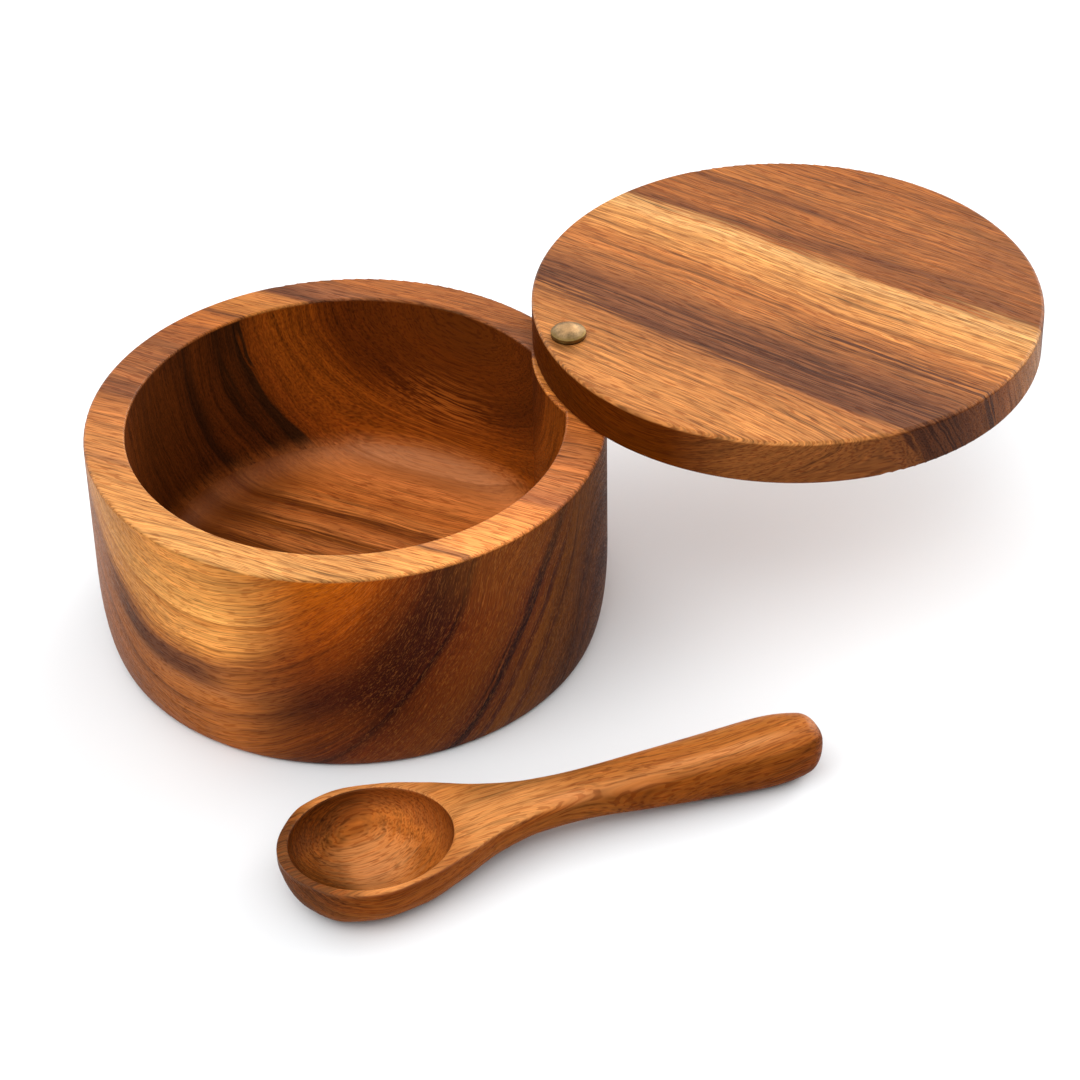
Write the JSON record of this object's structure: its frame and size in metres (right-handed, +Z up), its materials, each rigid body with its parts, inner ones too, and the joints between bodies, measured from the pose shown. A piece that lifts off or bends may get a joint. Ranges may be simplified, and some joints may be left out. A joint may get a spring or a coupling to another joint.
{
  "type": "salt cellar",
  "caption": "Round wooden salt cellar with a flat disc lid that swivels aside on a domed brass pin at the rim, and a small wooden spoon beside it.",
  "frame": {"origin": "centre of the bowl's flat base, at the level of the table it stands on", "axes": "+Z up along the bowl's axis; +X from the bowl's axis to the lid's pivot pin; the rest pose is the pictured one, with the lid swung half a turn open along +X and the spoon lying in front, towards -Y"},
  "size_m": [0.2088, 0.1566, 0.0634],
  "materials": {
    "bowl_wood": "oiled satin",
    "lid_wood": "oiled satin",
    "pin_brass": "antique, slightly hammered",
    "spoon_wood": "oiled satin"
  },
  "bodies": {
    "bowl": {"bowl": "bowl_wood", "pivot_pin": "pin_brass"},
    "lid": {"lid": "lid_wood"},
    "spoon": {"spoon": "spoon_wood"}
  },
  "joints": [
    {"name": "lid_swivel", "type": "hinge", "parent": "bowl", "child": "lid", "pos_m": [0.0494, 0, 0.0505], "axis": [0, 0, 1], "continuous": true},
    {"name": "spoon_lift", "type": "slide", "parent": "bowl", "child": "spoon", "axis": [0, 0, 1], "range_m": [0, 0.03]}
  ]
}
